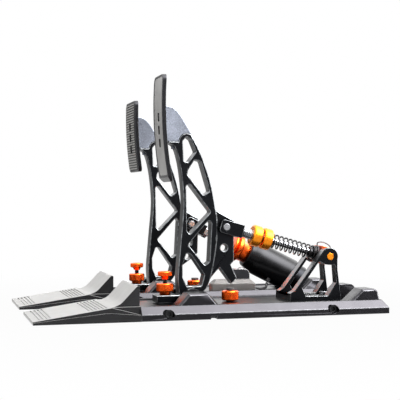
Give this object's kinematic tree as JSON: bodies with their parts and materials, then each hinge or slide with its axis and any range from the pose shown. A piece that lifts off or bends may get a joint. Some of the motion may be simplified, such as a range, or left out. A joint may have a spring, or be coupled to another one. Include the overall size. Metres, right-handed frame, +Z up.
{
  "type": "sim racing pedal set",
  "caption": "Throttle and brake pedal modules with truss arms, a coil spring unit, a hydraulic cylinder, heel rests and turnable stop wheels.",
  "frame": {"origin": "bottom centre of the pair, on the floor", "axes": "+X to the driver's right, -Y towards the driver, +Z up"},
  "size_m": [0.272, 0.432, 0.2881],
  "materials": {
    "base_black": "satin black anodised casting",
    "heel_grey": "satin grey anodised",
    "black_steel": "black oxide steel",
    "bright_steel": "bright turned steel",
    "arm_black": "satin black anodised, machined",
    "raw_aluminium": "bead-blasted bare aluminium",
    "pad_black": "satin black",
    "pad_face": "brushed grey aluminium",
    "orange_anodised": "orange anodised, knurled",
    "bumper_rubber": "black rubber",
    "yellow_anodised": "yellow-orange anodised",
    "spring_wire": "black spring wire",
    "cable_black": "black cable sheath",
    "brake_pad_rubber": "ribbed grey rubber",
    "gloss_black": "polished black anodised",
    "elastomer": "orange elastomer",
    "grey_plastic": "grey moulded plastic",
    "black_plastic": "black moulded plastic"
  },
  "bodies": {
    "frame": {"throttle_base": "base_black", "throttle_heel_rest": "heel_grey", "throttle_heel_screws": "black_steel", "throttle_base_bolts": "black_steel", "throttle_pivot_axle": "bright_steel", "throttle_end_stop_bumper": "bumper_rubber", "throttle_rear_bracket": "arm_black", "throttle_bracket_bolts": "bright_steel", "throttle_rear_pin": "bright_steel", "throttle_pin_caps": "yellow_anodised", "brake_base": "base_black", "brake_heel_rest": "heel_grey", "brake_heel_screws": "black_steel", "brake_base_bolts": "black_steel", "brake_pivot_axle": "bright_steel", "brake_end_stop_bumper": "bumper_rubber", "brake_rear_pin": "bright_steel", "brake_sensor_box": "grey_plastic", "brake_sensor_cap": "black_plastic", "brake_sensor_cable": "cable_black"},
    "throttle_pedal": {"throttle_arm": "arm_black", "throttle_pad_carrier": "raw_aluminium", "throttle_pad": "pad_black", "throttle_pad_face": "pad_face", "throttle_pad_screws": "black_steel", "throttle_pivot_bushes": "black_steel", "throttle_clevis_pin": "bright_steel"},
    "throttle_rest_knob": {"throttle_rest_knob": "orange_anodised"},
    "throttle_lock_wheel": {"throttle_rest_lock_wheel": "orange_anodised"},
    "throttle_end_wheel": {"throttle_end_stop_wheel": "orange_anodised"},
    "throttle_push_rod": {"throttle_clevis": "arm_black", "throttle_rod": "bright_steel"},
    "brake_pedal": {"brake_arm": "arm_black", "brake_pad_carrier": "raw_aluminium", "brake_pad": "pad_black", "brake_pad_face": "brake_pad_rubber", "brake_pad_screws": "black_steel", "brake_pivot_bushes": "black_steel", "brake_clevis_pin": "bright_steel"},
    "brake_rest_knob": {"brake_rest_knob": "orange_anodised"},
    "brake_lock_wheel": {"brake_rest_lock_wheel": "orange_anodised"},
    "brake_end_wheel": {"brake_end_stop_wheel": "orange_anodised"},
    "brake_push_rod": {"brake_clevis": "arm_black", "brake_rod": "bright_steel", "brake_piston": "bright_steel"},
    "throttle_guide": {"throttle_guide_tube": "black_steel", "throttle_trunnion": "orange_anodised", "throttle_spring": "spring_wire", "throttle_sensor_lead": "cable_black"},
    "throttle_preload_ring": {"throttle_preload_ring": "yellow_anodised"},
    "throttle_lock_ring": {"throttle_lock_ring": "yellow_anodised"},
    "brake_cylinder": {"brake_cylinder": "gloss_black", "brake_collar": "orange_anodised", "brake_rear_eye": "arm_black", "brake_elastomers": "elastomer"}
  },
  "joints": [
    {"name": "throttle_press", "type": "hinge", "parent": "frame", "child": "throttle_pedal", "pos_m": [0.081, -0.024, 0.022], "axis": [-1, 0, 0], "range_deg": [0, 5.5], "stiffness_Nm_per_rad": 20, "springref_deg": -20.05, "deforming": ["throttle_spring"]},
    {"name": "throttle_rod_swing", "type": "hinge", "parent": "throttle_pedal", "child": "throttle_push_rod", "pos_m": [0.081, 0.021, 0.106], "axis": [-1, 0, 0], "range_deg": [-6.6, 0]},
    {"name": "throttle_guide_swing", "type": "hinge", "parent": "frame", "child": "throttle_guide", "pos_m": [0.081, 0.15, 0.069], "axis": [-1, 0, 0], "range_deg": [-1.1, 0]},
    {"name": "throttle_rest_knob_turn", "type": "hinge", "parent": "throttle_pedal", "child": "throttle_rest_knob", "pos_m": [0.081, -0.053, 0.04], "axis": [0, 0, 1], "continuous": true},
    {"name": "throttle_lock_wheel_turn", "type": "hinge", "parent": "throttle_pedal", "child": "throttle_lock_wheel", "pos_m": [0.081, -0.053, 0.03], "axis": [0, 0, 1], "continuous": true},
    {"name": "throttle_end_wheel_turn", "type": "hinge", "parent": "frame", "child": "throttle_end_wheel", "pos_m": [0.081, 0.029, 0.022], "axis": [0, 0, 1], "continuous": true},
    {"name": "brake_press", "type": "hinge", "parent": "frame", "child": "brake_pedal", "pos_m": [-0.081, -0.024, 0.022], "axis": [-1, 0, 0], "range_deg": [0, 5.5], "stiffness_Nm_per_rad": 150, "springref_deg": -3.44},
    {"name": "brake_rod_swing", "type": "hinge", "parent": "brake_pedal", "child": "brake_push_rod", "pos_m": [-0.081, 0.021, 0.106], "axis": [-1, 0, 0], "range_deg": [-5.8, 0]},
    {"name": "brake_cylinder_swing", "type": "hinge", "parent": "frame", "child": "brake_cylinder", "pos_m": [-0.081, 0.193, 0.019], "axis": [-1, 0, 0], "range_deg": [-0.22, 0]},
    {"name": "brake_rest_knob_turn", "type": "hinge", "parent": "brake_pedal", "child": "brake_rest_knob", "pos_m": [-0.081, -0.053, 0.04], "axis": [0, 0, 1], "continuous": true},
    {"name": "brake_lock_wheel_turn", "type": "hinge", "parent": "brake_pedal", "child": "brake_lock_wheel", "pos_m": [-0.081, -0.053, 0.03], "axis": [0, 0, 1], "continuous": true},
    {"name": "brake_end_wheel_turn", "type": "hinge", "parent": "frame", "child": "brake_end_wheel", "pos_m": [-0.081, 0.029, 0.022], "axis": [0, 0, 1], "continuous": true},
    {"name": "throttle_preload_ring_turn", "type": "hinge", "parent": "throttle_push_rod", "child": "throttle_preload_ring", "pos_m": [0.081, 0.07531, 0.09042], "axis": [0, 0.9612, -0.2757], "continuous": true},
    {"name": "throttle_lock_ring_turn", "type": "hinge", "parent": "throttle_push_rod", "child": "throttle_lock_ring", "pos_m": [0.081, 0.06185, 0.09428], "axis": [0, 0.9612, -0.2757], "continuous": true}
  ],
  "couplings": [
    {"joint": "throttle_rod_swing", "follows": "throttle_press", "ratio": -1.1957},
    {"joint": "throttle_guide_swing", "follows": "throttle_press", "ratio": -0.1957},
    {"joint": "brake_rod_swing", "follows": "brake_press", "ratio": -1.0371},
    {"joint": "brake_cylinder_swing", "follows": "brake_press", "ratio": -0.0371}
  ]
}
